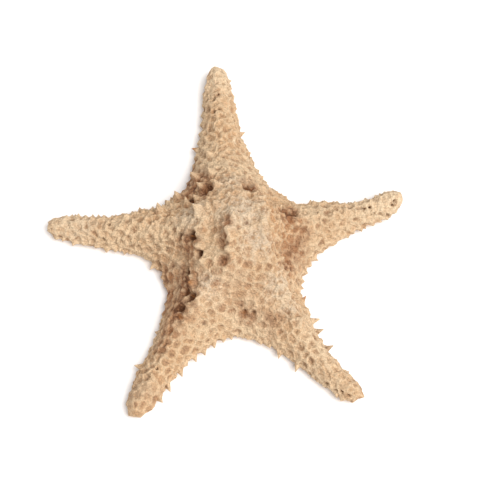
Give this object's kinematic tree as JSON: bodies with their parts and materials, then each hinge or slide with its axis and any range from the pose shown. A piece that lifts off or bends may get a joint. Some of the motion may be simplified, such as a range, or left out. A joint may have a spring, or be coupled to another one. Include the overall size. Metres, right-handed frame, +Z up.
{
  "type": "dried starfish",
  "caption": "Sun-dried sea star with keeled arms, a high domed disc, a raised net of ridges, thorny margins and a flat grooved underside.",
  "frame": {"origin": "middle of the outline's box, on the surface that the underside rests on", "axes": "+Z up out of the domed upper side, longest arm towards +Y, the arm with the raised tip towards +X"},
  "size_m": [0.2424, 0.2607, 0.0598],
  "materials": {
    "dried_skin": "matte, rough, sandy cream with brown recesses"
  },
  "bodies": {
    "root": {"starfish": "dried_skin"}
  },
  "joints": []
}
